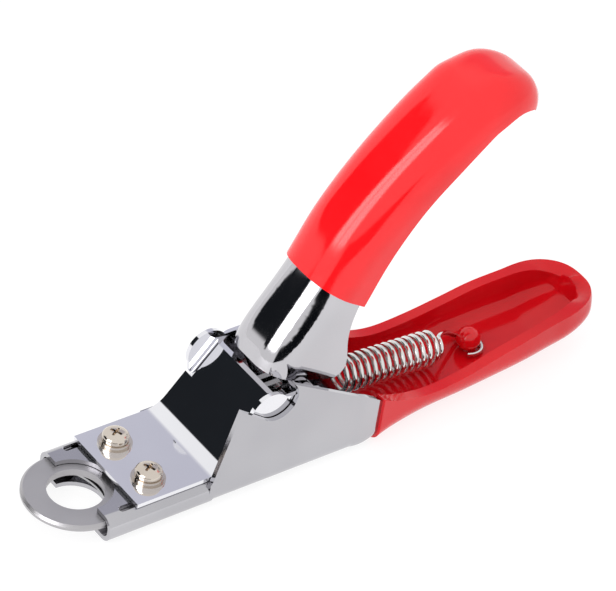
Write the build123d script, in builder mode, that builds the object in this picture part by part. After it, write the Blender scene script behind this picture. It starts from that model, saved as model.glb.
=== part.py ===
"""Guillotine nail clipper for pets, built as separate pieces in millimetres.

Origin: on the underside of the frame, straight below the fulcrum pin.
+X runs back along the lower handle, +Y across the tool, +Z up from the underside.
The nail ring is at -X. The clipper is drawn open, as its spring holds it.
Names ending in _X are distances from the nail hole's centre, and at() places them.
"""
from build123d import *
from math import cos, hypot, radians, sin, tan

# ---------------------------------------------------------------- head sizes
HOLE_R = 5.75            # nail hole in the ring
RING_R = 10.8            # outside of the ring
RING_T = 1.6             # ring plate stock
TAIL_END_X = 21.5        # back end of the ring plate
SHEET = 1.0              # frame stock
HEAD_HALF = 12.4         # half the outside width of the frame
HEAD_H = 5.9             # underside to the top of the keeper flaps
ROLL_R = 2.6             # outside radius of the rolled sides
FLAP_END_X = 20.5        # back end of the keeper flaps
FLAP_ARC_R = 7.4         # cut-out in the flaps round the nail hole
FLAP_GAP = 3.1           # gap between the two flaps
FLAP_JOIN = 3.4          # length over which a flap is joined to its roll
SLOT_W = 1.5             # slot behind that joint, between flap and roll
FLOOR_R = 6.3            # cut-out in the floor below the nail hole
SLIP = 0.12              # clearance between sliding or nested sheets

# ---------------------------------------------------------------- cover plate
COVER_T = 0.9
COVER_FRONT_X = 6.7
COVER_HALF = 11.2
COVER_BEND_X = 26.3      # where plate and ramp would meet without the bend
RAMP_ANGLE = 49.0
BEND_R = 6.0             # radius on the outside of the bend
SHOULDER_Z = 13.8        # height where the ears join the ramp
RAMP_TOP_Z = 20.2
EAR_CORNER_R = 2.6       # rounded corner between ramp and ear
EAR_TOP_Z = 20.9
EAR_BACK_X = 49.6
HORN_X = 36.4            # rounded horn at each ear's front, standing up from the ramp
HORN_Z = 22.9
HORN_R = 4.6

# ---------------------------------------------------------------- screws
SCREW_X = 12.7
SCREW_Y = 5.8            # from the middle plane
SCREW_R = 1.5
TAP_FIT = 0.02
SCREW_HEAD_R = 2.75
SCREW_HEAD_T = 1.8
DRIVE_SLOT_W = 0.55
DRIVE_SLOT_L = 2.9
DRIVE_SLOT_DEPTH = 0.8
FLAT_WASHER_R = 3.5
FLAT_WASHER_T = 0.45
LOCK_WASHER_R = 3.1
LOCK_WASHER_T = 0.8

# ---------------------------------------------------------------- walls and lower handle
FULCRUM_X = 46.0
FULCRUM_Z = 18.0
WALL_FRONT_X = 23.2      # foot of the near wall's front edge
WALL_TIP_X = 28.2
WALL_TIP_Z = 22.8
NOTCH_X = 37.4           # round notch in the near wall
NOTCH_Z = 21.7
NOTCH_R = 4.5
PEAK_X = 40.6            # highest point of the near wall, behind the notch
PEAK_Z = 24.9
FAR_WALL_X = 47.0        # the far wall is full height only behind here
FAR_WALL_Z = 16.0        # its height in front
BOX_END_X = 58.0         # where the straight-sided part of the frame ends
GRIP_X = 64.4            # front edge of the lower grip
GRIP_Z = 11.2            # wall height there
CORNER_R = 3.2           # lower corners of the frame
COAT_T = 0.7             # vinyl coat on both handles

# Bare lower handle: back X, underside Z, rim Z, half width, corner radius
HANDLE_STATIONS = [
    (68.0, 0.7, 9.2, 11.8, 4.2),
    (74.0, 0.7, 7.1, 11.1, 5.0),
    (80.0, 0.8, 6.3, 10.7, 5.4),
    (88.0, 1.0, 7.0, 10.4, 5.4),
    (96.0, 1.5, 8.5, 10.0, 5.2),
    (104.0, 2.1, 10.0, 9.7, 5.2),
    (112.0, 2.9, 11.0, 9.0, 5.0),
    (118.0, 3.8, 11.2, 7.6, 4.6),
    (122.0, 5.0, 11.0, 5.4, 3.8),
    (124.8, 7.0, 10.8, 2.8, 1.9),
]

# ---------------------------------------------------------------- mechanism
TRAVEL = 11.3            # blade travel across the hole
LEVER_SWING = 50.0       # lever travel, degrees
PIN_R = 1.5              # fulcrum and drive pins
HOOK_PIN_R = 1.1
HOOK_DX = 10.5           # fulcrum to the spring's pin on the lever
HOOK_DZ = -8.6
LEVER_HALF = 8.4
LEVER_T = 1.2
LEG_T = 1.4              # legs that reach down inside the frame
LEG_EYE_R = 3.0          # rounded leg end round the drive pin
HOOK_EYE_R = 2.3
COLLAR_R = 2.5           # collars round the fulcrum pin
COLLAR_GAP = 0.3         # collar end to ear
RUN_FIT = 0.05           # radial clearance of a turning pin
SLOT_FIT = 0.25          # side clearance of the drive pin in its slot
BLADE_T = 1.6
BLADE_HALF = 7.0         # cutting part
BLADE_GUIDE_HALF = 9.6   # part guided between the rolls
BLADE_TAIL_HALF = 5.2    # tail between the lever's legs
BLADE_LEAD = 0.35        # cutting edge ahead of the hole's rear edge at rest
BLADE_ARC_R = 12.0       # hollow cutting edge
BEVEL = 1.1
CARRIER_T = 1.2
CARRIER_HALF = 5.2
RIVET_R = 0.9

# Lever without its coat: back X, back Z, mouth X, mouth Z, half width, corner radius
LEVER_STATIONS = [
    (38.0, 23.6, 53.7, 18.4, 8.4, 6.0),
    (42.7, 32.5, 55.9, 26.1, 8.4, 6.4),
    (48.6, 41.3, 57.3, 35.9, 8.4, 6.6),
    (54.3, 51.6, 62.2, 46.3, 8.6, 6.8),
    (62.7, 61.7, 68.6, 56.2, 9.0, 7.0),
    (72.5, 70.7, 76.6, 64.4, 9.3, 6.9),
    (80.8, 76.8, 83.4, 70.3, 9.2, 6.4),
    (88.3, 78.0, 89.3, 72.8, 8.4, 5.0),
    (94.8, 75.6, 94.2, 71.6, 6.4, 3.6),
    (98.0, 71.4, 96.6, 69.4, 3.4, 1.8),
]
LEVER_GRIP_STATION = 2   # the upper grip starts at this station

# ---------------------------------------------------------------- spring
SPRING_R = 4.0
WIRE_R = 0.5
SPRING_TURNS = 15
COIL_FRONT_X = 61.0
COIL_FRONT_Z = 9.0
COIL_BACK_X = 87.6
COIL_BACK_Z = 7.2
LOOP_GAP = 0.25          # front loop round its pin
LOOP_Z = 4.1             # loop on the post
POST_LOOP_R = 3.1        # its radius; it hooks under the bead
POST_X = 96.6
POST_R = 1.0
POST_FOOT_Z = 1.6         # riveted foot, just inside the frame's underside there
POST_SHOULDER_Z = 2.7     # rests on the frame's floor
POST_TOP_Z = 6.6
BEAD_R = 2.6
BEAD_Z = 5.9

# ---------------------------------------------------------------- derived sizes
HOLE_AT = -FULCRUM_X
RING_TOP = HEAD_H - SHEET - SLIP
RING_LOW = RING_TOP - RING_T
BLADE_LOW = SHEET + SLIP
BLADE_TOP = BLADE_LOW + BLADE_T
COVER_LOW = HEAD_H + SLIP
COVER_TOP = COVER_LOW + COVER_T
TAIL_HALF = HEAD_HALF - ROLL_R + 0.3
HALF_SWING = radians(LEVER_SWING / 2)
DRIVE_ARM = TRAVEL / (2 * sin(HALF_SWING))
DRIVE_AT = DRIVE_ARM * sin(HALF_SWING)
DRIVE_Z = FULCRUM_Z - DRIVE_ARM * cos(HALF_SWING)
DRIVE_LOW_Z = FULCRUM_Z - DRIVE_ARM
HOOK_AT = HOOK_DX
HOOK_Z = FULCRUM_Z + HOOK_DZ
EAR_IN = COVER_HALF - COVER_T
LEG_OUT = LEVER_HALF - LEVER_T
LEG_IN = LEG_OUT - LEG_T
WALL_IN = HEAD_HALF - SHEET
RAMP_RISE = tan(radians(RAMP_ANGLE))


def at(x):
    """Place along X of a size measured from the nail hole's centre."""
    return x - FULCRUM_X


def ramp_at(z):
    """Place along X of the ramp's upper face at height z."""
    return at(COVER_BEND_X) + (z - COVER_TOP) / RAMP_RISE


def save(piece, name):
    """Label a finished piece and write its STEP file."""
    piece.part.label = name
    export_step(piece.part, f"parts/{name}.step")


def channel(stations, grow, mouth_grow):
    """Loft a filled trough or lever: each station is a rounded-back section.

    grow moves the back and the sides outwards, and mouth_grow moves the open side.
    """
    with BuildPart() as body:
        for back_x, back_z, mouth_x, mouth_z, half, corner in stations:
            depth = hypot(back_x - mouth_x, back_z - mouth_z)
            up = Vector(at(back_x) - at(mouth_x), 0, back_z - mouth_z) / depth
            middle = Vector(at(mouth_x), 0, mouth_z)
            section_plane = Plane(middle, x_dir=(0, 1, 0), z_dir=Vector(0, 1, 0).cross(up))
            low = -mouth_grow
            high = depth + grow
            side = half + grow
            bend = min(corner + grow, 0.95 * side, 0.95 * (high - low))
            with BuildSketch(section_plane):
                with BuildLine():
                    Polyline((-side, high - bend), (-side, low), (side, low), (side, high - bend))
                    RadiusArc((side, high - bend), (side - bend, high), -bend)
                    Line((side - bend, high), (-side + bend, high))
                    RadiusArc((-side + bend, high), (-side, high - bend), -bend)
                make_face()
        loft()
    return body.part


def end_moved(stations, gap):
    """Return the stations with the last one pulled in by gap (pushed out if negative)."""
    before, end = stations[-2:]
    back_run = hypot(end[0] - before[0], end[1] - before[1])
    mouth_run = hypot(end[2] - before[2], end[3] - before[3])
    share = 2 * gap / (back_run + mouth_run)
    moved = tuple(b - share * (b - a) for a, b in zip(before, end))
    return stations[:-1] + [moved]


# ---------------------------------------------------------------- frame
box_end = (BOX_END_X, 0.0, BOX_END_X, PEAK_Z + (GRIP_Z - PEAK_Z)
           * (BOX_END_X - PEAK_X) / (GRIP_X - PEAK_X), HEAD_HALF, CORNER_R)
grip_start = (GRIP_X, COAT_T, GRIP_X, GRIP_Z, HEAD_HALF - 0.1, CORNER_R)
handle_stations = [box_end, grip_start] + [
    (x, low, x, rim, half, corner) for x, low, rim, half, corner in HANDLE_STATIONS
]
handle_outer = channel(handle_stations, 0, 0)
handle_cavity = channel(end_moved(handle_stations, SHEET), -SHEET, 3)
coat_outer = channel(end_moved(handle_stations, -COAT_T), COAT_T, COAT_T)
coat_cavity = channel(end_moved(handle_stations, SHEET + COAT_T), -SHEET - COAT_T, 3)

with BuildPart() as frame:
    # straight-sided box behind the head
    with BuildSketch(Plane.YZ.offset(at(WALL_FRONT_X))):
        with Locations((0, PEAK_Z)):
            RectangleRounded(2 * HEAD_HALF, 2 * PEAK_Z, CORNER_R)
            RectangleRounded(2 * WALL_IN, 2 * (PEAK_Z - SHEET), CORNER_R - SHEET,
                             mode=Mode.SUBTRACT)
        with Locations((0, 2 * PEAK_Z)):
            Rectangle(3 * HEAD_HALF, 2 * PEAK_Z, mode=Mode.SUBTRACT)
    extrude(amount=BOX_END_X - WALL_FRONT_X)
    # both walls fall away behind the notch
    with BuildSketch(Plane.XZ.offset(-2 * HEAD_HALF)):
        with BuildLine():
            Polyline(
                (at(PEAK_X), PEAK_Z),
                (at(BOX_END_X), box_end[3]),
                (at(BOX_END_X), PEAK_Z + 1),
                (at(PEAK_X), PEAK_Z + 1),
                close=True,
            )
        make_face()
    extrude(amount=4 * HEAD_HALF, mode=Mode.SUBTRACT)
    # near wall: sloping front edge, pointed tip, round notch
    with BuildSketch(Plane.XZ):
        with BuildLine():
            Polyline(
                (at(WALL_FRONT_X) - 1, HEAD_H),
                (at(WALL_FRONT_X) + 0.3, HEAD_H),
                (at(WALL_TIP_X), WALL_TIP_Z),
                (at(NOTCH_X) - 0.62 * NOTCH_R, NOTCH_Z - 0.78 * NOTCH_R),
                (at(NOTCH_X), NOTCH_Z),
                (at(NOTCH_X) + NOTCH_R, NOTCH_Z),
                (at(PEAK_X), PEAK_Z),
                (at(PEAK_X), PEAK_Z + 1),
                (at(WALL_FRONT_X) - 1, PEAK_Z + 1),
                close=True,
            )
        make_face()
        with Locations((at(NOTCH_X), NOTCH_Z)):
            Circle(NOTCH_R)
    extrude(amount=2 * HEAD_HALF, mode=Mode.SUBTRACT)
    # far wall: low in front of the fulcrum
    with BuildSketch(Plane.XZ):
        with BuildLine():
            Polyline(
                (at(WALL_FRONT_X) - 1, HEAD_H),
                (at(NOTCH_X) - 4, HEAD_H),
                (at(NOTCH_X), FAR_WALL_Z),
                (at(FAR_WALL_X) - 2, FAR_WALL_Z),
                (at(FAR_WALL_X), FAR_WALL_Z + 2),
                (at(FAR_WALL_X), PEAK_Z + 1),
                (at(WALL_FRONT_X) - 1, PEAK_Z + 1),
                close=True,
            )
        make_face()
    extrude(amount=-2 * HEAD_HALF, mode=Mode.SUBTRACT)
    # lower handle
    add(handle_outer - handle_cavity)
    # head: floor with its sides rolled over into keeper flaps
    with BuildSketch(Plane.YZ.offset(HOLE_AT)):
        with Locations((0, HEAD_H / 2)):
            RectangleRounded(2 * HEAD_HALF, HEAD_H, ROLL_R)
            RectangleRounded(2 * WALL_IN, HEAD_H - 2 * SHEET, ROLL_R - SHEET, mode=Mode.SUBTRACT)
    extrude(amount=WALL_FRONT_X + SHEET)
    # the flaps stop in front of the walls, and have an arc, a middle gap and side slots
    slot_length = WALL_FRONT_X - FLAP_JOIN + SLOT_W + SHEET
    with BuildSketch(Plane.XY.offset(HEAD_H - SHEET - SLIP)):
        with Locations((at(FLAP_END_X) + ROLL_R, 0)):
            Rectangle(2 * ROLL_R, 2 * (HEAD_HALF - ROLL_R))
        with Locations((HOLE_AT, 0)):
            Circle(FLAP_ARC_R)
        with Locations((HOLE_AT + FLAP_END_X / 2, 0)):
            Rectangle(FLAP_END_X + 2, FLAP_GAP)
        with Locations(*[
            (HOLE_AT + FLAP_JOIN + slot_length / 2, side * (HEAD_HALF - ROLL_R)) for side in (1, -1)
        ]):
            SlotOverall(slot_length, SLOT_W)
    extrude(amount=2 * SHEET, mode=Mode.SUBTRACT)
    # clearance for the cover's screws in the flaps
    with Locations(*[(at(SCREW_X), side * SCREW_Y, HEAD_H - SHEET / 2) for side in (1, -1)]):
        Cylinder(SCREW_R + SLIP, 2 * SHEET, mode=Mode.SUBTRACT)
    # cut-out in the floor under the nail hole
    with Locations((HOLE_AT, 0, SHEET / 2)):
        Cylinder(FLOOR_R, 2 * SHEET, mode=Mode.SUBTRACT)
    # hole for the spring post's foot
    with Locations((at(POST_X), 0, 2 * SHEET)):
        Cylinder(POST_R * 0.6, 8 * SHEET, mode=Mode.SUBTRACT)
save(frame, "frame")

# ---------------------------------------------------------------- lower grip
with BuildPart() as lower_grip:
    add(coat_outer - coat_cavity - (handle_outer - handle_cavity))
    # in front of the grip's edge the steel stays bare
    with Locations((at(GRIP_X) - HEAD_HALF, 0, 0)):
        Box(2 * HEAD_HALF, 4 * HEAD_HALF, 4 * PEAK_Z, mode=Mode.SUBTRACT)
    # the spring post stands through the coat, on the trough's floor
    with Locations((at(POST_X), 0, POST_FOOT_Z)):
        Cylinder(POST_R + SLIP, 4 * POST_TOP_Z, align=(Align.CENTER, Align.CENTER, Align.MIN),
                 mode=Mode.SUBTRACT)
save(lower_grip, "lower_grip")

# ---------------------------------------------------------------- ring plate
with BuildPart() as ring_plate:
    with BuildSketch(Plane.XY.offset(RING_LOW)):
        with Locations((HOLE_AT, 0)):
            Circle(RING_R)
        with Locations((HOLE_AT + TAIL_END_X / 2, 0)):
            Rectangle(TAIL_END_X, 2 * TAIL_HALF)
        with Locations((HOLE_AT, 0)):
            Circle(HOLE_R, mode=Mode.SUBTRACT)
        with Locations(*[(at(SCREW_X), side * SCREW_Y) for side in (1, -1)]):
            Circle(SCREW_R + TAP_FIT, mode=Mode.SUBTRACT)
    extrude(amount=RING_T)
    rim_edges = ring_plate.edges().filter_by(GeomType.CIRCLE).filter_by(
        lambda e: abs(e.radius - RING_R) < 0.01 and e.center().Z > 0)
    chamfer(rim_edges, 0.5)
save(ring_plate, "ring_plate")

# ---------------------------------------------------------------- blade
edge_at = HOLE_AT + HOLE_R - BLADE_LEAD
arc_centre = edge_at - BLADE_ARC_R
guide_front = at(13.6)
tail_front = at(TAIL_END_X + 1.0)
tail_back = DRIVE_AT + PIN_R + 1.2
carrier_front = at(TAIL_END_X) + TRAVEL + 0.6
rivet_places = [carrier_front + x for x in (2.6, 7.0)]
with BuildPart() as blade:
    with BuildSketch(Plane.XY.offset(BLADE_LOW)):
        with Locations(((edge_at + guide_front) / 2 - 1.5, 0)):
            Rectangle(guide_front - edge_at + 4, 2 * BLADE_HALF)
        with Locations(((guide_front + tail_front) / 2, 0)):
            RectangleRounded(tail_front - guide_front, 2 * BLADE_GUIDE_HALF, 0.8)
        with Locations(((tail_front + tail_back) / 2 - 1, 0)):
            Rectangle(tail_back - tail_front + 2, 2 * BLADE_TAIL_HALF)
        with Locations((arc_centre, 0)):
            Circle(BLADE_ARC_R, mode=Mode.SUBTRACT)
    extrude(amount=BLADE_T)
    # ground bevel under the hollow edge
    with Locations((arc_centre, 0, BLADE_LOW)):
        Cone(BLADE_ARC_R + 1.6 * BEVEL, BLADE_ARC_R, BEVEL,
             align=(Align.CENTER, Align.CENTER, Align.MIN), mode=Mode.SUBTRACT)
    with Locations(*[(x, 0, BLADE_TOP) for x in rivet_places]):
        Hole(RIVET_R + TAP_FIT)
save(blade, "blade")

# ---------------------------------------------------------------- blade carrier
carrier_back = DRIVE_AT + PIN_R + 1.6
with BuildPart() as blade_carrier:
    with BuildSketch(Plane.XY.offset(BLADE_TOP)):
        with Locations(((carrier_front + DRIVE_AT - 4) / 2, 0)):
            Rectangle(DRIVE_AT - 4 - carrier_front, 2 * CARRIER_HALF)
    extrude(amount=CARRIER_T)
    with BuildSketch(Plane.XZ.offset(-CARRIER_HALF)):
        with BuildLine():
            Polyline(
                (DRIVE_AT - 10, BLADE_TOP),
                (carrier_back, BLADE_TOP),
                (carrier_back, DRIVE_Z + PIN_R + 1.6),
                (DRIVE_AT - 4, DRIVE_Z + PIN_R + 1.6),
                (DRIVE_AT - 10, BLADE_TOP + CARRIER_T),
                close=True,
            )
        make_face()
        # upright slot that the drive pin slides in
        with Locations((DRIVE_AT, (DRIVE_LOW_Z + DRIVE_Z) / 2)):
            SlotCenterToCenter(DRIVE_Z - DRIVE_LOW_Z + 2 * SLOT_FIT, 2 * (PIN_R + SLOT_FIT),
                               rotation=90, mode=Mode.SUBTRACT)
    extrude(amount=2 * CARRIER_HALF)
    # open between its two side lugs
    with Locations((DRIVE_AT + 2, 0, BLADE_TOP + CARRIER_T + 10)):
        Box(30, 2 * (CARRIER_HALF - CARRIER_T), 20, mode=Mode.SUBTRACT)
    with Locations(*[(x, 0, BLADE_TOP + CARRIER_T) for x in rivet_places]):
        Hole(RIVET_R + TAP_FIT)
save(blade_carrier, "blade_carrier")

with BuildPart() as carrier_rivets:
    with Locations(*[(x, 0, BLADE_LOW) for x in rivet_places]):
        Cylinder(RIVET_R, BLADE_T + CARRIER_T, align=(Align.CENTER, Align.CENTER, Align.MIN))
    with Locations(*[(x, 0, BLADE_TOP + CARRIER_T) for x in rivet_places]):
        Cylinder(1.8 * RIVET_R, 0.8, align=(Align.CENTER, Align.CENTER, Align.MIN))
save(carrier_rivets, "carrier_rivets")

# ---------------------------------------------------------------- cover plate
def bent_bracket(half, inset, corner):
    """Fill the upper ramp and its two ears: a prism with rounded front corners."""
    push = inset / sin(radians(RAMP_ANGLE))
    foot_z = SHOULDER_Z - 1.5
    with BuildPart() as body:
        with BuildSketch(Plane.XZ.offset(-half)):
            with BuildLine():
                Polyline(
                    (ramp_at(foot_z) + push, foot_z),
                    (ramp_at(HORN_Z) + push, HORN_Z),
                    (at(EAR_BACK_X) + 3 * inset, HORN_Z),
                    (at(EAR_BACK_X) + 3 * inset, foot_z),
                    close=True,
                )
            make_face()
        extrude(amount=2 * half)
        slanted = body.edges().filter_by(
            lambda e: abs(abs(e.center().Y) - half) < 0.01
            and abs((e @ 0).X - (e @ 1).X) > 1 and abs((e @ 0).Z - (e @ 1).Z) > 1)
        fillet(slanted, corner)
    return body.part


with BuildPart() as cover_plate:
    # plate, bend and the wide foot of the ramp
    with BuildSketch(Plane.XZ.offset(-COVER_HALF)):
        with BuildLine():
            sheet_path = FilletPolyline(
                (at(COVER_FRONT_X), COVER_TOP),
                (at(COVER_BEND_X), COVER_TOP),
                (ramp_at(SHOULDER_Z), SHOULDER_Z),
                radius=BEND_R,
            )
            offset(sheet_path, amount=COVER_T, side=Side.RIGHT)
        make_face()
    extrude(amount=2 * COVER_HALF)
    # upper ramp and ears, one bent sheet
    add(bent_bracket(COVER_HALF, 0, EAR_CORNER_R)
        - bent_bracket(EAR_IN, COVER_T, EAR_CORNER_R - COVER_T))
    # straight top edge between the ears
    with Locations((0, 0, RAMP_TOP_Z + 10)):
        Box(4 * FULCRUM_X, 2 * EAR_IN, 20, mode=Mode.SUBTRACT)
    # the ears are rounded off at the back
    with BuildSketch(Plane.XZ.offset(-2 * COVER_HALF)):
        with BuildLine():
            Polyline(
                (ramp_at(EAR_TOP_Z) + 1, EAR_TOP_Z),
                (at(FULCRUM_X), EAR_TOP_Z),
                (at(FULCRUM_X) + 2.4, EAR_TOP_Z - 0.9),
                (at(EAR_BACK_X) - 0.2, FULCRUM_Z),
                (at(EAR_BACK_X) - 0.2, SHOULDER_Z - 2),
                (at(EAR_BACK_X) + 3, SHOULDER_Z - 2),
                (at(EAR_BACK_X) + 3, HORN_Z + 1),
                (ramp_at(EAR_TOP_Z) - 3, HORN_Z + 1),
                (ramp_at(EAR_TOP_Z) - 3, EAR_TOP_Z),
                close=True,
            )
        make_face()
    extrude(amount=4 * COVER_HALF, mode=Mode.SUBTRACT)
    # rounded horns that stand up in front of the ramp
    for side in (1, -1):
        with BuildSketch(Plane.XZ.offset(-side * (EAR_IN + COVER_HALF) / 2)):
            with Locations((at(HORN_X), HORN_Z - HORN_R)):
                Circle(HORN_R)
            with BuildLine():
                Polyline(
                    (at(HORN_X), HORN_Z - HORN_R),
                    (at(HORN_X) + HORN_R - 0.4, HORN_Z - HORN_R + 1),
                    (at(HORN_X) + 5.5, EAR_TOP_Z - 3),
                    (at(HORN_X) + 1.5, EAR_TOP_Z - 8),
                    (ramp_at(SHOULDER_Z) + 0.4, SHOULDER_Z + 0.2),
                    (at(HORN_X) - HORN_R + 0.4, HORN_Z - HORN_R - 1),
                    close=True,
                )
            make_face()
        extrude(amount=COVER_T / 2, both=True)
    # bore of the fulcrum pin
    with Locations(Location((0, 0, FULCRUM_Z), (90, 0, 0))):
        Cylinder(PIN_R, 4 * COVER_HALF, mode=Mode.SUBTRACT)
    # screw holes
    with Locations(*[(at(SCREW_X), side * SCREW_Y, COVER_LOW) for side in (1, -1)]):
        Cylinder(SCREW_R + SLIP, 4 * COVER_T, mode=Mode.SUBTRACT)
save(cover_plate, "cover_plate")

# ---------------------------------------------------------------- screws and washers
screw_places = [(at(SCREW_X), side * SCREW_Y) for side in (1, -1)]
flat_top = COVER_TOP + FLAT_WASHER_T
lock_top = flat_top + LOCK_WASHER_T
with BuildPart() as flat_washers:
    with BuildSketch(Plane.XY.offset(COVER_TOP)):
        with Locations(*screw_places):
            Circle(FLAT_WASHER_R)
            Circle(SCREW_R + SLIP, mode=Mode.SUBTRACT)
    extrude(amount=FLAT_WASHER_T)
save(flat_washers, "flat_washers")

with BuildPart() as lock_washers:
    with BuildSketch(Plane.XY.offset(flat_top)):
        with Locations(*screw_places):
            Circle(LOCK_WASHER_R)
            Circle(SCREW_R + SLIP, mode=Mode.SUBTRACT)
        # the split in each ring
        with Locations(*[(x - 2, y) for x, y in screw_places]):
            Rectangle(2.4, 0.4, mode=Mode.SUBTRACT)
    extrude(amount=LOCK_WASHER_T)
save(lock_washers, "lock_washers")

with BuildPart() as cover_screws:
    with Locations(*[(x, y, lock_top) for x, y in screw_places]):
        Cylinder(SCREW_HEAD_R, SCREW_HEAD_T, align=(Align.CENTER, Align.CENTER, Align.MIN))
    fillet(cover_screws.edges().group_by(Axis.Z)[-1], 0.9)
    with Locations(*[(x, y, RING_LOW) for x, y in screw_places]):
        Cylinder(SCREW_R, lock_top - RING_LOW, align=(Align.CENTER, Align.CENTER, Align.MIN))
    # cross recess
    head_top = lock_top + SCREW_HEAD_T
    with BuildSketch(Plane.XY.offset(head_top - DRIVE_SLOT_DEPTH)):
        with Locations(*screw_places):
            Rectangle(DRIVE_SLOT_L, DRIVE_SLOT_W)
            Rectangle(DRIVE_SLOT_W, DRIVE_SLOT_L)
    extrude(amount=2 * DRIVE_SLOT_DEPTH, mode=Mode.SUBTRACT)
save(cover_screws, "cover_screws")

# ---------------------------------------------------------------- lever
lever_outer = channel(LEVER_STATIONS, 0, 0)
lever_cavity = channel(end_moved(LEVER_STATIONS, LEVER_T), -LEVER_T, 3)
with BuildPart() as lever:
    add(lever_outer - lever_cavity)
    # legs that reach down inside the frame, set in from the lever's sides
    for side in (1, -1):
        with BuildSketch(Plane.XZ.offset(-side * (LEG_IN + LEG_OUT + SLIP) / 2)):
            with Locations((0, FULCRUM_Z + 5.5), (0, FULCRUM_Z), (DRIVE_AT, DRIVE_Z)):
                Circle(LEG_EYE_R)
            with Locations((HOOK_AT, HOOK_Z)):
                Circle(HOOK_EYE_R)
            make_hull()
        extrude(amount=(LEG_T + SLIP) / 2, both=True)
        # drawn collar that fills the space between leg and ear
        with Locations(Location((0, side * (EAR_IN - COLLAR_GAP + LEG_OUT) / 2, FULCRUM_Z),
                                (90, 0, 0))):
            Cylinder(COLLAR_R, EAR_IN - COLLAR_GAP - LEG_OUT)
    with Locations(Location((0, 0, FULCRUM_Z), (90, 0, 0))):
        Cylinder(PIN_R + RUN_FIT, 4 * LEVER_HALF, mode=Mode.SUBTRACT)
    with Locations(Location((DRIVE_AT, 0, DRIVE_Z), (90, 0, 0))):
        Cylinder(PIN_R, 2 * LEG_OUT, mode=Mode.SUBTRACT)
    with Locations(Location((HOOK_AT, 0, HOOK_Z), (90, 0, 0))):
        Cylinder(HOOK_PIN_R, 2 * LEG_OUT, mode=Mode.SUBTRACT)
save(lever, "lever")

# ---------------------------------------------------------------- upper grip
edge_back_x, edge_back_z, edge_mouth_x, edge_mouth_z = LEVER_STATIONS[LEVER_GRIP_STATION][:4]
edge_up = Vector(edge_back_x - edge_mouth_x, 0, edge_back_z - edge_mouth_z).normalized()
edge_plane = Plane(Vector(at(edge_mouth_x), 0, edge_mouth_z), x_dir=(0, 1, 0),
                   z_dir=edge_up.cross(Vector(0, 1, 0)))
if edge_plane.z_dir.Z < 0:
    edge_plane = Plane(edge_plane.origin, x_dir=(0, 1, 0), z_dir=-edge_plane.z_dir)
with BuildPart() as upper_grip:
    add(channel(end_moved(LEVER_STATIONS, -COAT_T), COAT_T, COAT_T)
        - channel(end_moved(LEVER_STATIONS, LEVER_T + COAT_T), -LEVER_T - COAT_T, 3)
        - (lever_outer - lever_cavity))
    split(bisect_by=edge_plane, keep=Keep.TOP)
save(upper_grip, "upper_grip")

# ---------------------------------------------------------------- pins
def cross_pin(x, z, radius, half):
    """Make a plain pin across the tool, with small chamfers."""
    with BuildPart() as pin:
        with Locations(Location((x, 0, z), (90, 0, 0))):
            Cylinder(radius, 2 * half)
        chamfer(pin.edges().filter_by(GeomType.CIRCLE), 0.2)
    return pin


fulcrum_pin = cross_pin(0, FULCRUM_Z, PIN_R, COVER_HALF)
save(fulcrum_pin, "fulcrum_pin")
drive_pin = cross_pin(DRIVE_AT, DRIVE_Z, PIN_R, LEG_OUT)
save(drive_pin, "drive_pin")
spring_pin = cross_pin(HOOK_AT, HOOK_Z, HOOK_PIN_R, LEG_OUT)
save(spring_pin, "spring_pin")

# ---------------------------------------------------------------- spring and its post
def wire(start, end):
    """Make a straight piece of spring wire with round ends."""
    run = Vector(*end) - Vector(*start)
    with BuildPart() as piece:
        with BuildSketch(Plane(Vector(*start), z_dir=run)):
            Circle(WIRE_R)
        extrude(amount=run.length)
        with Locations(start, end):
            Sphere(WIRE_R)
    return piece.part


coil_run = Vector(at(COIL_BACK_X) - at(COIL_FRONT_X), 0, COIL_BACK_Z - COIL_FRONT_Z)
coil_front = (at(COIL_FRONT_X), 0, COIL_FRONT_Z)
coil_r = SPRING_R - WIRE_R
with BuildPart() as spring:
    with BuildLine():
        coil = Helix(coil_run.length / SPRING_TURNS, coil_run.length, coil_r,
                     center=coil_front, direction=tuple(coil_run))
    with BuildSketch(Plane(coil @ 0, z_dir=coil % 0)):
        Circle(WIRE_R)
    sweep(path=coil, is_frenet=True)
    pin_loop_r = HOOK_PIN_R + WIRE_R + LOOP_GAP
    with Locations(Location((HOOK_AT, 0, HOOK_Z), (90, 0, 0))):
        Torus(pin_loop_r, WIRE_R)
    with Locations((at(POST_X), 0, LOOP_Z)):
        Torus(POST_LOOP_R, WIRE_R)
    add(wire((HOOK_AT + pin_loop_r, 0, HOOK_Z), coil_front))
    add(wire(coil_front, tuple(coil @ 0)))
    add(wire((at(POST_X) - POST_LOOP_R, 0, LOOP_Z), (at(COIL_BACK_X), 0, COIL_BACK_Z)))
    add(wire((at(COIL_BACK_X), 0, COIL_BACK_Z), tuple(coil @ 1)))
save(spring, "spring")

with BuildPart() as spring_post:
    with BuildSketch(Plane.XZ):
        with BuildLine():
            Polyline(
                (0, POST_FOOT_Z),
                (POST_R * 0.6, POST_FOOT_Z),
                (POST_R * 0.6, POST_SHOULDER_Z),
                (POST_R, POST_SHOULDER_Z),
                (POST_R, POST_TOP_Z),
                (0, POST_TOP_Z),
                close=True,
            )
        make_face()
    revolve(axis=Axis.Z)
    spring_post.part.position = (at(POST_X), 0, 0)
save(spring_post, "spring_post")

with BuildPart() as post_bead:
    with Locations((at(POST_X), 0, BEAD_Z)):
        Sphere(BEAD_R)
    with Locations((at(POST_X), 0, 0)):
        Cylinder(POST_R, 2 * POST_TOP_Z, mode=Mode.SUBTRACT)
save(post_bead, "post_bead")
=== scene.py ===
"""Guillotine nail clipper for pets: finishes, modelled pieces, studio and camera."""
import logging
import math
from dataclasses import dataclass, field
from enum import Enum

import bpy
from mathutils import Matrix, Vector


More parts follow.
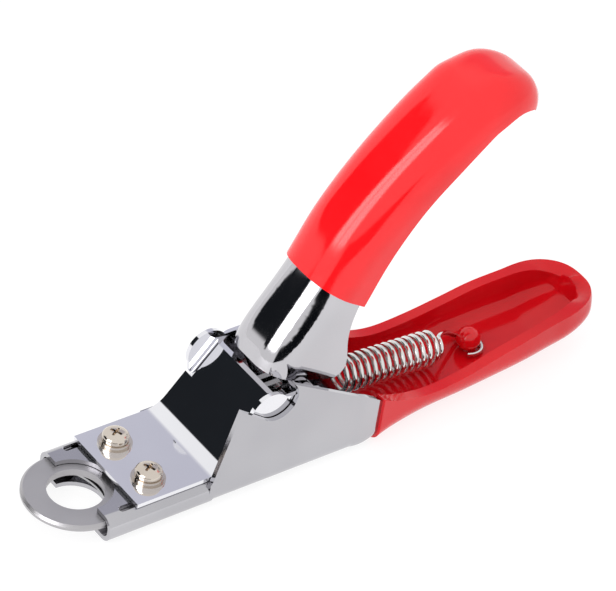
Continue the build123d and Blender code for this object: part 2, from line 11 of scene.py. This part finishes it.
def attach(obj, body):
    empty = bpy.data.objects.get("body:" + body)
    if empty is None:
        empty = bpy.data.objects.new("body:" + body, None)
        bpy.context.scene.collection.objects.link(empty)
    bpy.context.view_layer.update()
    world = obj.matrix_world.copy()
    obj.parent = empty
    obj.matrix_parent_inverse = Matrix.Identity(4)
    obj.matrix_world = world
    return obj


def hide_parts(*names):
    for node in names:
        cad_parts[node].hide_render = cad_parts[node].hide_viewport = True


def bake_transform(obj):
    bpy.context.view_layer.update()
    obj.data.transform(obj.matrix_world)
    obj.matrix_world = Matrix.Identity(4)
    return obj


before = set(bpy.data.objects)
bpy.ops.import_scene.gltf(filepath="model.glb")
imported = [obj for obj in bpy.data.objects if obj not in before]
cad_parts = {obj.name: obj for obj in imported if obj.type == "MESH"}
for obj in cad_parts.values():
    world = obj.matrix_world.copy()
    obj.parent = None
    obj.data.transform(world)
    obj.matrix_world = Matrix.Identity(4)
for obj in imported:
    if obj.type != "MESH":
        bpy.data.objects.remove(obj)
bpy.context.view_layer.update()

LOG = logging.getLogger("clipper")
MM = 0.001
HOLE_TO_FULCRUM = 46.0


class Body(Enum):
    """The rigid bodies that modelled pieces ride on."""

    FRAME = "frame_body"
    LEVER = "lever_body"


class Slot(Enum):
    """Names of the material slots handed along with modelled pieces."""

    NICKEL = "nickel"
    SPRING = "spring_wire"
    UPPER_VINYL = "upper_vinyl"
    LOWER_VINYL = "lower_vinyl"


def new_material(name: str) -> tuple[bpy.types.Material, bpy.types.Node]:
    """Make an empty node material with a Principled shader.

    Args:
        name: Name of the material.

    Returns:
        The material and its Principled node.
    """
    material = bpy.data.materials.new(name)
    material.use_nodes = True
    return material, material.node_tree.nodes["Principled BSDF"]


def object_noise(material: bpy.types.Material, scale: float, detail: float,
                 stretch: tuple[float, float, float] = (1.0, 1.0, 1.0)) -> bpy.types.NodeSocket:
    """Add a noise pattern fixed to the object.

    Args:
        material: Material that gets the nodes.
        scale: Noise scale, per metre.
        detail: Octaves of the noise.
        stretch: Factors on the three coordinates.

    Returns:
        The noise value's socket.
    """
    nodes, links = material.node_tree.nodes, material.node_tree.links
    place = nodes.new("ShaderNodeTexCoord")
    mapping = nodes.new("ShaderNodeMapping")
    mapping.inputs["Scale"].default_value = stretch
    noise = nodes.new("ShaderNodeTexNoise")
    noise.inputs["Scale"].default_value = scale
    noise.inputs["Detail"].default_value = detail
    links.new(place.outputs["Object"], mapping.inputs["Vector"])
    links.new(mapping.outputs["Vector"], noise.inputs["Vector"])
    return noise.outputs["Fac"]


def ranged(material: bpy.types.Material, value: bpy.types.NodeSocket, low: float,
           high: float) -> bpy.types.NodeSocket:
    """Stretch a noise value to the span from low to high.

    Args:
        material: Material that gets the node.
        value: Socket with the noise value.
        low: Result where the noise is lowest.
        high: Result where it is highest.

    Returns:
        The stretched value's socket.
    """
    node = material.node_tree.nodes.new("ShaderNodeMapRange")
    node.inputs["From Min"].default_value = 0.3
    node.inputs["From Max"].default_value = 0.7
    node.inputs["To Min"].default_value = low
    node.inputs["To Max"].default_value = high
    material.node_tree.links.new(value, node.inputs["Value"])
    return node.outputs["Result"]


def tinted(material: bpy.types.Material, value: bpy.types.NodeSocket,
           dark: tuple[float, float, float], light: tuple[float, float, float]) -> bpy.types.NodeSocket:
    """Blend two colours by a noise value.

    Args:
        material: Material that gets the node.
        value: Socket with the noise value.
        dark: Colour at the low end.
        light: Colour at the high end.

    Returns:
        The colour's socket.
    """
    ramp = material.node_tree.nodes.new("ShaderNodeValToRGB")
    ramp.color_ramp.elements[0].position = 0.35
    ramp.color_ramp.elements[0].color = (*dark, 1.0)
    ramp.color_ramp.elements[1].position = 0.65
    ramp.color_ramp.elements[1].color = (*light, 1.0)
    material.node_tree.links.new(value, ramp.inputs["Fac"])
    return ramp.outputs["Color"]


def bumped(material: bpy.types.Material, shader: bpy.types.Node, height: bpy.types.NodeSocket,
           strength: float, distance: float) -> None:
    """Drive a shader's normal with a bump.

    Args:
        material: Material that gets the node.
        shader: Shader whose normal is driven.
        height: Socket with the height value.
        strength: Bump strength.
        distance: Bump height in metres.
    """
    bump = material.node_tree.nodes.new("ShaderNodeBump")
    bump.inputs["Strength"].default_value = strength
    bump.inputs["Distance"].default_value = distance
    material.node_tree.links.new(height, bump.inputs["Height"])
    material.node_tree.links.new(bump.outputs["Normal"], shader.inputs["Normal"])


@dataclass(frozen=True)
class Metal:
    """A bare or plated metal with faint waviness and hairline marks."""

    name: str
    dark: tuple[float, float, float]
    light: tuple[float, float, float]
    smooth: float
    rough: float
    wave: float = 0.15
    grain: tuple[float, float, float] = (1.0, 1.0, 1.0)
    grain_scale: float = 260.0

    def material(self) -> bpy.types.Material:
        """Build the metal's node material."""
        material, shader = new_material(self.name)
        shader.inputs["Metallic"].default_value = 1.0
        cloud = object_noise(material, 45.0, 2.0)
        fine = object_noise(material, self.grain_scale, 3.0, self.grain)
        links = material.node_tree.links
        links.new(tinted(material, cloud, self.dark, self.light), shader.inputs["Base Color"])
        links.new(ranged(material, fine, self.smooth, self.rough), shader.inputs["Roughness"])
        bumped(material, shader, fine, self.wave, 0.00002)
        return material


@dataclass(frozen=True)
class Vinyl:
    """Glossy dipped vinyl with a soft, slightly uneven skin."""

    name: str
    dark: tuple[float, float, float]
    light: tuple[float, float, float]
    smooth: float = 0.10
    rough: float = 0.18
    gloss: float = 0.24

    def material(self) -> bpy.types.Material:
        """Build the vinyl's node material."""
        material, shader = new_material(self.name)
        cloud = object_noise(material, 60.0, 3.0)
        skin = object_noise(material, 900.0, 2.0)
        links = material.node_tree.links
        links.new(tinted(material, cloud, self.dark, self.light), shader.inputs["Base Color"])
        links.new(ranged(material, skin, self.smooth, self.rough), shader.inputs["Roughness"])
        shader.inputs["Specular IOR Level"].default_value = self.gloss
        shader.inputs["Subsurface Weight"].default_value = 0.08
        shader.inputs["Subsurface Radius"].default_value = (0.003, 0.0006, 0.0004)
        shader.inputs["Subsurface Scale"].default_value = 1.0
        bumped(material, shader, skin, 0.05, 0.00003)
        return material


CHROME = Metal("bright_chrome", (0.80, 0.80, 0.835), (0.86, 0.86, 0.89), 0.035, 0.07, 0.08)
# The frame and lever plating are darker copies of the chrome: painted shade that stands in for the dimmer
# reflections on the walls and the lever's sides.
BODY_PLATE_PAINTED_SHADE = Metal("body_plate_painted_shade", (0.46, 0.455, 0.48), (0.50, 0.495, 0.52), 0.09, 0.15, 0.10)
LEVER_PLATE_PAINTED_SHADE = Metal("lever_plate_painted_shade", (0.52, 0.51, 0.535), (0.56, 0.55, 0.575), 0.05, 0.09, 0.06)
RING_STEEL = Metal("ground_ring_steel", (0.36, 0.35, 0.365), (0.46, 0.45, 0.465), 0.30, 0.42, 0.3,
                   (1.0, 9.0, 1.0), 700.0)
BLADE_STEEL = Metal("ground_blade_steel", (0.42, 0.42, 0.43), (0.50, 0.50, 0.51), 0.18, 0.30, 0.25,
                    (9.0, 1.0, 1.0), 700.0)
NICKEL = Metal("nickel_plate", (0.58, 0.51, 0.44), (0.76, 0.71, 0.65), 0.08, 0.16)
WASHER_STEEL = Metal("washer_nickel", (0.55, 0.50, 0.46), (0.70, 0.66, 0.61), 0.14, 0.24)
PIN_STEEL = Metal("turned_pin_steel", (0.52, 0.52, 0.53), (0.60, 0.60, 0.61), 0.16, 0.26)
SPRING_WIRE = Metal("spring_wire_steel", (0.66, 0.65, 0.64), (0.78, 0.77, 0.76), 0.08, 0.16)
UPPER_RED = Vinyl("upper_red_vinyl", (0.80, 0.006, 0.010), (0.90, 0.010, 0.014), 0.08, 0.14, 0.55)
# The lower grip is the same vinyl as the upper one; its darker red is painted shade.
LOWER_RED_PAINTED_SHADE = Vinyl("lower_red_vinyl_painted_shade", (0.60, 0.003, 0.008), (0.68, 0.005, 0.011), 0.08, 0.14, 0.32)
BEAD_RED = Vinyl("bead_red_vinyl", (0.60, 0.004, 0.008), (0.70, 0.006, 0.012), 0.05, 0.10, 0.5)


def dress(node: str, material: bpy.types.Material) -> None:
    """Give every material slot of a CAD node the same material.

    Args:
        node: Name of the CAD node.
        material: Material for all of its slots.
    """
    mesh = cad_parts[node].data
    if not mesh.materials:
        mesh.materials.append(material)
    for index in range(len(mesh.materials)):
        mesh.materials[index] = material
    LOG.info("dressed %s", node)


def finish_mesh(piece: bpy.types.Object, angle: float = 40.0) -> None:
    """Weld a modelled piece, turn its faces outward and smooth it.

    Args:
        piece: Piece to clean up.
        angle: Edges sharper than this many degrees stay crisp.
    """
    bpy.ops.object.select_all(action="DESELECT")
    piece.select_set(True)
    bpy.context.view_layer.objects.active = piece
    bpy.ops.object.mode_set(mode="EDIT")
    bpy.ops.mesh.select_all(action="SELECT")
    bpy.ops.mesh.remove_doubles(threshold=0.000005)
    bpy.ops.mesh.normals_make_consistent(inside=False)
    bpy.ops.object.mode_set(mode="OBJECT")
    bpy.ops.object.shade_smooth_by_angle(angle=math.radians(angle))


def apply_modifier(piece: bpy.types.Object, kind: str, **settings: float) -> None:
    """Add a modifier with its settings and apply it at once.

    Args:
        piece: Piece that is changed.
        kind: Modifier type.
        settings: Values set on the modifier.
    """
    bpy.ops.object.select_all(action="DESELECT")
    piece.select_set(True)
    bpy.context.view_layer.objects.active = piece
    modifier = piece.modifiers.new(kind.lower(), kind)
    for name, value in settings.items():
        setattr(modifier, name, value)
    bpy.ops.object.modifier_apply(modifier=modifier.name)


def place(piece: bpy.types.Object, body: Body, slot: Slot, material: bpy.types.Material,
          *nodes: str) -> None:
    """Hand a finished piece to its body, material and CAD nodes.

    Args:
        piece: Finished piece.
        body: Body it rides on.
        slot: Not used.
        material: Its finish.
        nodes: CAD nodes that it stands for.
    """
    piece.data.materials.clear()
    piece.data.materials.append(material)
    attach(piece, body.value)
    if nodes:
        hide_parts(*nodes)
    LOG.info("placed %s", piece.name)


Section = tuple[float, float, float, float, float, float]


def blend_sections(sections: list[Section], steps: int) -> list[Section]:
    """Run a smooth curve through the sections and return more of them.

    Args:
        sections: Back X, back Z, mouth X, mouth Z, half width and corner of each, in mm.
        steps: Sections made between each pair.

    Returns:
        The denser list of sections.
    """
    padded = [tuple(2 * a - b for a, b in zip(sections[0], sections[1]))] + sections
    padded.append(tuple(2 * a - b for a, b in zip(sections[-1], sections[-2])))
    dense: list[Section] = []
    for first, start, end, last in zip(padded, padded[1:], padded[2:], padded[3:]):
        for step in range(steps):
            t = step / steps
            dense.append(tuple(
                0.5 * (2 * b + (c - a) * t + (2 * a - 5 * b + 4 * c - d) * t * t
                       + (3 * b - a - 3 * c + d) * t ** 3)
                for a, b, c, d in zip(first, start, end, last)))
    dense.append(sections[-1])
    return dense


def along(points: list[Vector], share: float) -> Vector:
    """Find the point a share of the way along a line of points.

    Args:
        points: Line of points.
        share: Part of the line's length, from 0 to 1.

    Returns:
        The point there.
    """
    spans = [(b - a).length for a, b in zip(points, points[1:])]
    left = share * sum(spans)
    for start, end, span in zip(points, points[1:], spans):
        if left <= span:
            return start.lerp(end, left / span if span else 0.0)
        left -= span
    return points[-1].copy()


@dataclass
class DippedGrip:
    """A vinyl-dipped handle: a smooth trough with a closed, rounded end."""

    name: str
    sections: list[Section]
    tip: tuple[float, float]
    wall: float
    end_wall: float
    round_from: int
    fullness: float = 2.3
    steps: int = 6
    end_rows: int = 16
    corner_points: int = 9

    def rows(self) -> list[Section]:
        """List the sections of the straight part, then those of the rounded end."""
        body = blend_sections(self.sections[:self.round_from + 1], self.steps)
        tail = self.sections[self.round_from:]
        pole = (self.tip[0], self.tip[1], self.tip[0], self.tip[1], 0.0, 0.0)
        dense = blend_sections(tail + [pole], 10)
        backs = [Vector((row[0], 0, row[1])) for row in dense]
        mouths = [Vector((row[2], 0, row[3])) for row in dense]
        half = tail[0][4]
        corner_share = tail[0][5] / half
        for k in range(1, self.end_rows):
            share = math.sin(0.5 * math.pi * k / self.end_rows)
            width = half * (1 - share ** self.fullness) ** (1 / self.fullness)
            back, mouth = along(backs, share), along(mouths, share)
            body.append((back.x, back.z, mouth.x, mouth.z, width,
                         width * (corner_share + (0.95 - corner_share) * share ** 2)))
        return body

    def outline(self, section: Section) -> list[Vector]:
        """List the points of one section, from one rim round the back to the other.

        Args:
            section: Back X, back Z, mouth X, mouth Z, half width and corner, in mm.

        Returns:
            Points in metres.
        """
        back_x, back_z, mouth_x, mouth_z, half, corner = section
        depth = max(0.02, math.hypot(back_x - mouth_x, back_z - mouth_z))
        up = Vector((back_x - mouth_x, 0, back_z - mouth_z)) / depth
        bend = min(corner, 0.98 * half, 0.96 * depth)
        side = [(half, (depth - bend) * k / 4) for k in range(4)]
        for k in range(self.corner_points + 1):
            angle = 0.5 * math.pi * k / self.corner_points
            side.append((half - bend + bend * math.cos(angle),
                         depth - bend + bend * math.sin(angle)))
        side.append(((half - bend) / 2, depth))
        base = Vector((mouth_x - HOLE_TO_FULCRUM, 0, mouth_z))
        points = side + [(0.0, depth)] + [(-y, height) for y, height in reversed(side)]
        return [(base + Vector((0, y, 0)) + up * height) * MM for y, height in points]

    def build(self) -> bpy.types.Object:
        """Lay a grid over the sections, give it its wall and round its rim."""
        rows = [self.outline(section) for section in self.rows()]
        width = len(rows[0])
        bpy.ops.object.select_all(action="DESELECT")
        bpy.ops.mesh.primitive_grid_add(x_subdivisions=width - 1, y_subdivisions=len(rows),
                                        size=0.01)
        grip = bpy.context.object
        grip.name = self.name
        corners = grip.data.vertices
        order = sorted(range(len(corners)),
                       key=lambda v: (round(corners[v].co.y, 7), corners[v].co.x))
        tip = Vector((self.tip[0] - HOLE_TO_FULCRUM, 0, self.tip[1])) * MM
        for count, vertex in enumerate(order):
            row, column = divmod(count, width)
            corners[vertex].co = rows[row][column] if row < len(rows) else tip
        grip.data.update()
        finish_mesh(grip, 180.0)
        self.face_outward(grip)
        self.thicken_end(grip)
        apply_modifier(grip, "SOLIDIFY", thickness=self.end_wall * MM, offset=-1.0,
                       vertex_group="wall", thickness_vertex_group=0.0)
        apply_modifier(grip, "BEVEL", width=0.42 * self.wall * MM, segments=4,
                       limit_method="ANGLE", angle_limit=math.radians(50))
        apply_modifier(grip, "SUBSURF", levels=1, render_levels=1)
        finish_mesh(grip, 75.0)
        return grip

    def thicken_end(self, grip: bpy.types.Object) -> None:
        """Weight the shell so that the wall grows to its end thickness."""
        group = grip.vertex_groups.new(name="wall")
        start = (self.sections[self.round_from][0] - HOLE_TO_FULCRUM) * MM
        stop = (self.tip[0] - HOLE_TO_FULCRUM) * MM
        for corner in grip.data.vertices:
            share = min(1.0, max(0.0, 2 * (corner.co.x - start) / (stop - start)))
            wall = self.wall + (self.end_wall - self.wall) * share
            group.add([corner.index], wall / self.end_wall, "REPLACE")

    def face_outward(self, grip: bpy.types.Object) -> None:
        """Turn the open shell so that its faces point away from the hollow."""
        section = self.sections[len(self.sections) // 2]
        hollow = Vector((section[2] - HOLE_TO_FULCRUM, 0, section[3])) * MM
        nearest = min(grip.data.polygons, key=lambda face: (face.center - hollow).length)
        if nearest.normal.dot(nearest.center - hollow) < 0:
            grip.data.flip_normals()


@dataclass
class CoverScrew:
    """Pan-head screw with a domed head and a cross recess."""

    name: str
    x: float = 12.7 - HOLE_TO_FULCRUM
    y: float = 5.8
    shank_low: float = 3.25
    seat: float = 8.17
    shank: float = 1.5
    head: float = 2.75
    rise: float = 1.8
    recess_width: float = 0.8
    recess_length: float = 3.7
    recess_depth: float = 1.05

    def build(self) -> bpy.types.Object:
        """Turn the screw's profile and press the recess into it."""
        crown = [(self.head * math.cos(a), self.seat + 0.75 + (self.rise - 0.75) * math.sin(a))
                 for a in (math.radians(d) for d in (0, 15, 30, 45, 60, 75))]
        profile = [(0.0, self.shank_low), (self.shank - 0.2, self.shank_low),
                   (self.shank, self.shank_low + 0.2), (self.shank, self.seat),
                   (self.head - 0.15, self.seat), (self.head, self.seat + 0.15),
                   *crown, (0.0, self.seat + self.rise)]
        bpy.ops.object.select_all(action="DESELECT")
        bpy.ops.mesh.primitive_plane_add(size=0.001)
        screw = bpy.context.object
        screw.name = self.name
        mesh = bpy.data.meshes.new(self.name)
        mesh.from_pydata([(radius * MM, 0.0, height * MM) for radius, height in profile],
                         [(k, k + 1) for k in range(len(profile) - 1)], [])
        screw.data = mesh
        bpy.ops.object.mode_set(mode="EDIT")
        bpy.ops.mesh.select_all(action="SELECT")
        bpy.ops.mesh.spin(steps=64, angle=2 * math.pi, center=(0, 0, 0), axis=(0, 0, 1))
        bpy.ops.object.mode_set(mode="OBJECT")
        finish_mesh(screw, 35.0)
        for turn in (25.0, 115.0):
            self.press_slot(screw, turn)
        screw.location = (self.x * MM, self.y * MM, 0)
        bpy.ops.object.select_all(action="DESELECT")
        screw.select_set(True)
        bpy.context.view_layer.objects.active = screw
        bpy.ops.object.transform_apply(location=True, rotation=True, scale=True)
        finish_mesh(screw, 35.0)
        return screw

    def press_slot(self, screw: bpy.types.Object, turn: float) -> None:
        """Cut one arm pair of the recess.

        Args:
            screw: Screw at the origin.
            turn: Direction of the slot in degrees.
        """
        bpy.ops.mesh.primitive_cube_add(
            size=MM, location=(0, 0, (self.seat + self.rise) * MM),
            rotation=(0, 0, math.radians(turn)))
        punch = bpy.context.object
        punch.scale = (self.recess_length, self.recess_width, 2 * self.recess_depth)
        bpy.ops.object.transform_apply(location=True, rotation=True, scale=True)
        low = (self.seat + self.rise) * MM
        for corner in punch.data.vertices:
            if corner.co.z < low:
                corner.co.x *= 0.45
                corner.co.y *= 0.45
        apply_modifier(screw, "BOOLEAN", operation="DIFFERENCE", solver="EXACT", object=punch)
        bpy.data.objects.remove(punch)


@dataclass
class ReturnSpring:
    """Extension spring: close coils with tapered ends and two loops."""

    front: tuple[float, float] = (61.0 - HOLE_TO_FULCRUM, 9.0)
    back: tuple[float, float] = (87.6 - HOLE_TO_FULCRUM, 7.2)
    coil_radius: float = 3.5
    wire: float = 0.5
    turns: int = 15
    pin: tuple[float, float] = (10.5, 9.4)
    pin_loop: float = 1.85
    post_x: float = 96.6 - HOLE_TO_FULCRUM
    post_loop: float = 3.1
    loop_z: float = 4.1
    taper_turns: float = 1.0
    steps_per_turn: int = 20
    end_share: float = 0.72

    def route(self) -> list[Vector]:
        """List the wire's centre line from the pin's loop to the post's loop, in mm."""
        start = Vector((self.front[0], 0, self.front[1]))
        end = Vector((self.back[0], 0, self.back[1]))
        along = (end - start).normalized()
        across = Vector((0, 1, 0))
        over = along.cross(across)
        points = []
        for k in range(20):
            angle = math.radians(-60 - k * 15)
            points.append(Vector((self.pin[0] + self.pin_loop * math.cos(angle), 0.15 * k / 20,
                                  self.pin[1] + self.pin_loop * math.sin(angle))))
        count = int(self.turns * self.steps_per_turn)
        for k in range(count + 1):
            share = k / count
            near_end = min(k, count - k) / (self.steps_per_turn * self.taper_turns)
            radius = self.coil_radius * (self.end_share + (1 - self.end_share) * min(1.0, near_end))
            angle = 2 * math.pi * k / self.steps_per_turn
            points.append(start + (end - start) * share
                          + radius * (math.cos(angle) * over + math.sin(angle) * across))
        points.append(Vector((self.back[0] + 3.4, 1.6, self.back[1] + 1.7)))
        for k in range(15):
            angle = math.radians(112 - k * 17)
            drop = 0.6 * max(0.0, 1 - k / 4)
            points.append(Vector((self.post_x + self.post_loop * math.cos(angle),
                                  self.post_loop * math.sin(angle), self.loop_z + drop)))
        return points

    def build(self) -> None:
        """Make the wire along its route as a tube in place of the CAD spring."""
        curve = bpy.data.curves.new("spring_line", "CURVE")
        curve.dimensions = "3D"
        curve.bevel_depth = self.wire * MM
        curve.bevel_resolution = 3
        curve.use_fill_caps = True
        points = self.route()
        line = curve.splines.new("NURBS")
        line.points.add(len(points) - 1)
        for knot, point in zip(line.points, points):
            knot.co = (*(point * MM), 1.0)
        line.order_u = 4
        line.use_endpoint_u = True
        line.resolution_u = 2
        holder = bpy.data.objects.new("spring_holder", curve)
        bpy.context.scene.collection.objects.link(holder)
        bpy.context.view_layer.update()
        mesh = bpy.data.meshes.new_from_object(holder.evaluated_get(
            bpy.context.evaluated_depsgraph_get()))
        bpy.data.objects.remove(holder)
        wire = bpy.data.objects.new("return_spring", mesh)
        bpy.context.scene.collection.objects.link(wire)
        finish_mesh(wire, 60.0)
        wire.data.materials.append(SPRING_WIRE.material())
        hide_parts("spring")
        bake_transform(wire)


@dataclass
class Head:
    """Frame, ring, blade and cover: pressed and ground steel."""

    chrome: Metal = CHROME
    plate: Metal = BODY_PLATE_PAINTED_SHADE
    lever: Metal = LEVER_PLATE_PAINTED_SHADE
    ring: Metal = RING_STEEL
    blade: Metal = BLADE_STEEL

    def dress(self) -> None:
        """Finish the head's CAD nodes."""
        chrome = self.chrome.material()
        dress("cover_plate", chrome)
        dress("lever", self.lever.material())
        dress("frame", self.plate.material())
        dress("ring_plate", self.ring.material())
        blade = self.blade.material()
        for node in ("blade", "blade_carrier", "carrier_rivets"):
            dress(node, blade)


@dataclass
class Fasteners:
    """Cover screws with their washers, and the cross pins."""

    def build(self) -> None:
        """Model both screws."""
        nickel = NICKEL.material()
        for name, y in (("cover_screw_left", 5.8), ("cover_screw_right", -5.8)):
            place(CoverScrew(name, y=y).build(), Body.FRAME, Slot.NICKEL, nickel, "cover_screws")

    def dress(self) -> None:
        """Finish the fasteners' CAD nodes."""
        washer = WASHER_STEEL.material()
        dress("lock_washers", washer)
        dress("flat_washers", washer)
        pin = PIN_STEEL.material()
        for node in ("fulcrum_pin", "drive_pin", "spring_pin", "spring_post"):
            dress(node, pin)


@dataclass
class Handles:
    """The two vinyl-coated handles and the spring's bead."""

    coat: float = 0.7
    upper: list[Section] = field(default_factory=lambda: [
        (48.6, 41.3, 57.3, 35.9, 8.4, 6.6),
        (54.3, 51.6, 62.2, 46.3, 8.6, 6.8),
        (62.7, 61.7, 68.6, 56.2, 9.0, 7.0),
        (72.5, 70.7, 76.6, 64.4, 9.3, 6.9),
        (80.8, 76.8, 83.4, 70.3, 9.2, 6.4),
        (88.3, 78.0, 89.3, 72.8, 8.4, 5.0),
        (94.8, 75.6, 94.2, 71.6, 6.4, 3.6),
        (98.0, 71.4, 96.6, 69.4, 3.4, 1.8),
    ])
    lower: list[Section] = field(default_factory=lambda: [
        (64.4, 0.7, 64.4, 11.2, 12.3, 3.2),
        (68.0, 0.7, 68.0, 9.2, 11.8, 4.2),
        (74.0, 0.7, 74.0, 7.1, 11.1, 5.0),
        (80.0, 0.8, 80.0, 6.3, 10.7, 5.4),
        (88.0, 1.0, 88.0, 7.0, 10.4, 5.4),
        (96.0, 1.5, 96.0, 8.5, 10.0, 5.2),
        (104.0, 2.1, 104.0, 10.0, 9.7, 5.2),
        (112.0, 2.9, 112.0, 11.0, 9.0, 5.0),
        (118.0, 3.8, 118.0, 11.6, 7.6, 4.6),
        (122.0, 5.0, 122.0, 11.7, 5.4, 3.8),
        (124.8, 7.0, 124.8, 11.7, 2.8, 1.9),
    ])

    def coated(self, sections: list[Section]) -> list[Section]:
        """Grow bare sections by the coat's thickness on the back, sides and rims."""
        grown = []
        for back_x, back_z, mouth_x, mouth_z, half, corner in sections:
            depth = math.hypot(back_x - mouth_x, back_z - mouth_z)
            step_x = (back_x - mouth_x) / depth * self.coat
            step_z = (back_z - mouth_z) / depth * self.coat
            grown.append((back_x + step_x, back_z + step_z, mouth_x - step_x, mouth_z - step_z,
                          half + self.coat, corner + self.coat))
        return grown

    def build(self) -> None:
        """Model both grips."""
        upper = DippedGrip("upper_dipped_grip", self.coated(self.upper), (98.55, 70.3), 2.5, 3.0, 4).build()
        place(upper, Body.LEVER, Slot.UPPER_VINYL, UPPER_RED.material(), "upper_grip")
        lower = DippedGrip("lower_dipped_grip", self.coated(self.lower), (125.4, 12.3), 2.4, 3.1, 7).build()
        place(lower, Body.FRAME, Slot.LOWER_VINYL, LOWER_RED_PAINTED_SHADE.material(), "lower_grip")

    def dress(self) -> None:
        """Finish the bead's CAD node."""
        dress("post_bead", BEAD_RED.material())


@dataclass(frozen=True)
class Card:
    """A patch of the studio tent, by its direction in degrees and its colour."""

    turn_from: float
    turn_to: float
    lift_from: float
    lift_to: float
    colour: tuple[float, float, float]
    soft: float = 4.0


@dataclass
class Studio:
    """Glowing floor, lit tent and camera."""

    tent: float = 1.0
    floor_glow: float = 0.83
    cards: tuple[Card, ...] = (
        Card(26.0, 66.0, 22.0, 47.0, (0.60, 0.60, 0.68), 8.0),
        Card(120.0, 160.0, 8.0, 44.0, (0.014, 0.016, 0.019), 3.0),
        Card(-152.0, -108.0, -10.0, 15.0, (0.006, 0.007, 0.009), 3.0),
        Card(163.0, 179.0, 14.0, 55.0, (5.0, 5.0, 5.0), 6.0),
        Card(-179.9, -160.0, 14.0, 55.0, (5.0, 5.0, 5.0), 6.0),
    )

    target: Vector = field(default_factory=lambda: Vector((29.65, 27.52, 4.78)) * MM)
    azimuth: float = -41.84
    elevation: float = 38.62
    roll: float = 9.55
    distance: float = 0.812
    lens: float = 229.1

    def build_floor(self) -> None:
        """Lay the pale, faintly glowing floor."""
        bpy.ops.object.select_all(action="DESELECT")
        bpy.ops.mesh.primitive_plane_add(size=6.0, location=(0, 0, -0.0002))
        floor = bpy.context.object
        floor.name = "floor"
        material, shader = new_material("pale_floor")
        shader.inputs["Roughness"].default_value = 0.6
        shade = object_noise(material, 3.0, 1.0)
        material.node_tree.links.new(
            tinted(material, shade, (0.18, 0.18, 0.18), (0.20, 0.20, 0.20)),
            shader.inputs["Base Color"])
        shader.inputs["Emission Color"].default_value = (1.0, 1.0, 1.0, 1.0)
        shader.inputs["Emission Strength"].default_value = self.floor_glow
        floor.data.materials.append(material)

    def build_world(self) -> None:
        """Surround the clipper with a white tent that has dark cards and one bright box."""
        world = bpy.data.worlds.new("studio_world")
        bpy.context.scene.world = world
        world.use_nodes = True
        tree = world.node_tree
        background = tree.nodes["Background"]
        place_node = tree.nodes.new("ShaderNodeTexCoord")
        split = tree.nodes.new("ShaderNodeSeparateXYZ")
        tree.links.new(place_node.outputs["Generated"], split.inputs[0])
        turn = self.math_node(tree, "ARCTAN2", split.outputs["Y"], split.outputs["X"])
        lift = self.math_node(tree, "ARCSINE", split.outputs["Z"])
        value = None
        for card in self.cards:
            mask = self.math_node(
                tree, "MULTIPLY",
                self.window(tree, turn, card.turn_from, card.turn_to, card.soft),
                self.window(tree, lift, card.lift_from, card.lift_to, card.soft))
            mix = tree.nodes.new("ShaderNodeMix")
            mix.data_type = "RGBA"
            tree.links.new(mask, mix.inputs["Factor"])
            if value is None:
                mix.inputs["A"].default_value = (self.tent, self.tent, self.tent, 1.0)
            else:
                tree.links.new(value, mix.inputs["A"])
            mix.inputs["B"].default_value = (*card.colour, 1.0)
            value = mix.outputs["Result"]
        tree.links.new(value, background.inputs["Color"])
        background.inputs["Strength"].default_value = 1.0

    def math_node(self, tree: bpy.types.NodeTree, operation: str, *values: bpy.types.NodeSocket
                  ) -> bpy.types.NodeSocket:
        """Add a math node.

        Args:
            tree: Node tree that gets it.
            operation: What it works out.
            values: Sockets that feed it.

        Returns:
            Its result socket.
        """
        node = tree.nodes.new("ShaderNodeMath")
        node.operation = operation
        for index, value in enumerate(values):
            tree.links.new(value, node.inputs[index])
        return node.outputs[0]

    def window(self, tree: bpy.types.NodeTree, angle: bpy.types.NodeSocket, low: float,
               high: float, soft: float) -> bpy.types.NodeSocket:
        """Mask an angle to a span with soft ends.

        Args:
            tree: Node tree that gets the nodes.
            angle: Socket with the angle in radians.
            low: Start of the span in degrees.
            high: End of the span in degrees.
            soft: Width of the soft ends in degrees.

        Returns:
            Socket that is 1 inside the span and 0 outside.
        """
        sockets = []
        for edge, before, after in ((low, 0.0, 1.0), (high, 1.0, 0.0)):
            node = tree.nodes.new("ShaderNodeMapRange")
            node.interpolation_type = "SMOOTHSTEP"
            node.inputs["From Min"].default_value = math.radians(edge - soft / 2)
            node.inputs["From Max"].default_value = math.radians(edge + soft / 2)
            node.inputs["To Min"].default_value = before
            node.inputs["To Max"].default_value = after
            tree.links.new(angle, node.inputs["Value"])
            sockets.append(node.outputs["Result"])
        return self.math_node(tree, "MULTIPLY", *sockets)

    def build_camera(self) -> None:
        """Place the camera at the viewing angle."""
        turn, lift, roll = (math.radians(a) for a in (self.azimuth, self.elevation, self.roll))
        out = Vector((math.sin(turn) * math.cos(lift), -math.cos(turn) * math.cos(lift),
                      math.sin(lift)))
        right = (-out).cross(Vector((0, 0, 1))).normalized()
        up = right.cross(-out)
        rolled_right = right * math.cos(roll) + up * math.sin(roll)
        rolled_up = -right * math.sin(roll) + up * math.cos(roll)
        data = bpy.data.cameras.new("camera")
        data.lens = self.lens
        data.sensor_width = 36.0
        data.clip_start = 0.05
        camera = bpy.data.objects.new("camera", data)
        bpy.context.scene.collection.objects.link(camera)
        camera.matrix_world = Matrix.Translation(self.target + self.distance * out) @ Matrix(
            (rolled_right, rolled_up, out)).transposed().to_4x4()
        bpy.context.scene.camera = camera

    def build(self) -> None:
        """Build the whole studio."""
        self.build_floor()
        self.build_world()
        self.build_camera()
        bpy.context.scene.view_settings.view_transform = "Standard"


def main() -> None:
    """Build the studio and every sub-assembly in order."""
    logging.basicConfig(level=logging.INFO, format="%(name)s: %(message)s")
    Studio().build()
    handles = Handles()
    handles.build()
    ReturnSpring().build()
    fasteners = Fasteners()
    fasteners.build()
    for assembly in (Head(), fasteners, handles):
        assembly.dress()


if __name__ == "__main__":
    main()
